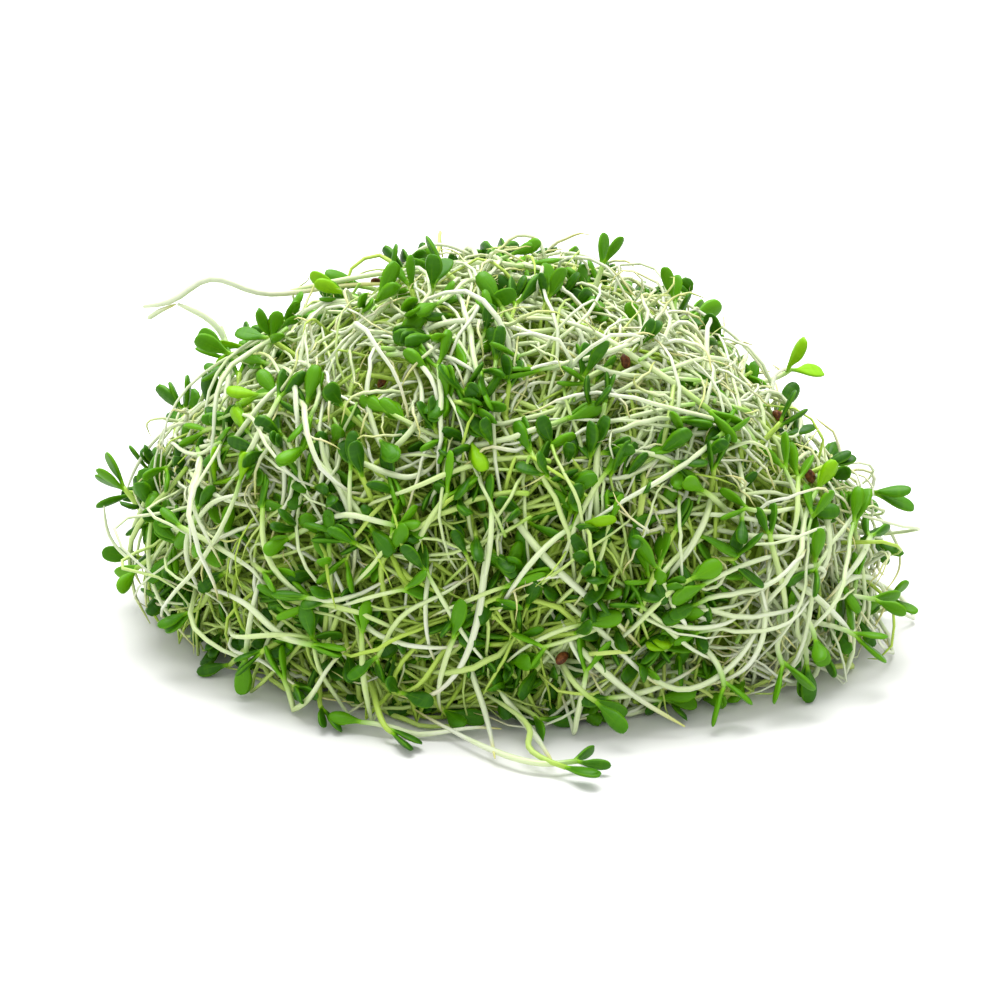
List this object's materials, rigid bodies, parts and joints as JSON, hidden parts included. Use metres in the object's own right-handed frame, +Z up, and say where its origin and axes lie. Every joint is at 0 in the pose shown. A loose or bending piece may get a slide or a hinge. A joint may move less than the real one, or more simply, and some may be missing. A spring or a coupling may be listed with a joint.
{
  "type": "alfalfa sprouts",
  "caption": "Loose heap of fresh alfalfa sprouts: pale thread-like stems and roots with small paired green seed leaves and a few brown seed hulls, lying on its own flat underside.",
  "frame": {"origin": "on the surface that the heap lies on, under the middle of the heap's flat underside", "axes": "+Z up, +X along the heap's longest side, -Y towards the viewer of the picture"},
  "size_m": [0.1364, 0.1161, 0.0671],
  "materials": {
    "matted_stems": "moist, slightly glossy plant stems",
    "green_sprout": "moist, slightly glossy seed leaf",
    "seed_hull": "satin seed coat"
  },
  "bodies": {
    "root": {"tangle": "matted_stems", "sprout_01": "green_sprout", "sprout_02": "green_sprout", "sprout_03": "green_sprout", "sprout_04": "green_sprout", "sprout_05": "green_sprout", "sprout_06": "green_sprout", "sprout_07": "green_sprout", "sprout_08": "green_sprout", "sprout_09": "green_sprout", "sprout_10": "green_sprout", "sprout_11": "green_sprout", "sprout_12": "green_sprout", "sprout_13": "green_sprout", "sprout_14": "green_sprout", "sprout_15": "green_sprout", "sprout_16": "green_sprout", "sprout_17": "green_sprout", "sprout_18": "green_sprout", "sprout_19": "green_sprout", "sprout_20": "green_sprout", "sprout_21": "green_sprout", "sprout_22": "green_sprout", "sprout_23": "green_sprout", "sprout_24": "green_sprout", "sprout_25": "green_sprout", "sprout_26": "green_sprout", "sprout_27": "green_sprout", "sprout_28": "green_sprout", "sprout_29": "green_sprout", "sprout_30": "green_sprout", "sprout_31": "green_sprout", "sprout_32": "green_sprout", "sprout_33": "green_sprout", "sprout_34": "green_sprout", "sprout_35": "green_sprout", "sprout_36": "green_sprout", "sprout_37": "green_sprout", "sprout_38": "green_sprout", "sprout_39": "green_sprout", "sprout_40": "green_sprout", "sprout_41": "green_sprout", "sprout_42": "green_sprout", "sprout_43": "green_sprout", "sprout_44": "green_sprout", "sprout_45": "green_sprout", "sprout_46": "green_sprout", "sprout_47": "green_sprout", "sprout_48": "green_sprout", "sprout_49": "green_sprout", "sprout_50": "green_sprout", "sprout_51": "green_sprout", "sprout_52": "green_sprout", "seed_hull_1": "seed_hull", "seed_hull_2": "seed_hull", "seed_hull_3": "seed_hull", "seed_hull_4": "seed_hull", "seed_hull_5": "seed_hull", "seed_hull_6": "seed_hull"}
  },
  "joints": []
}
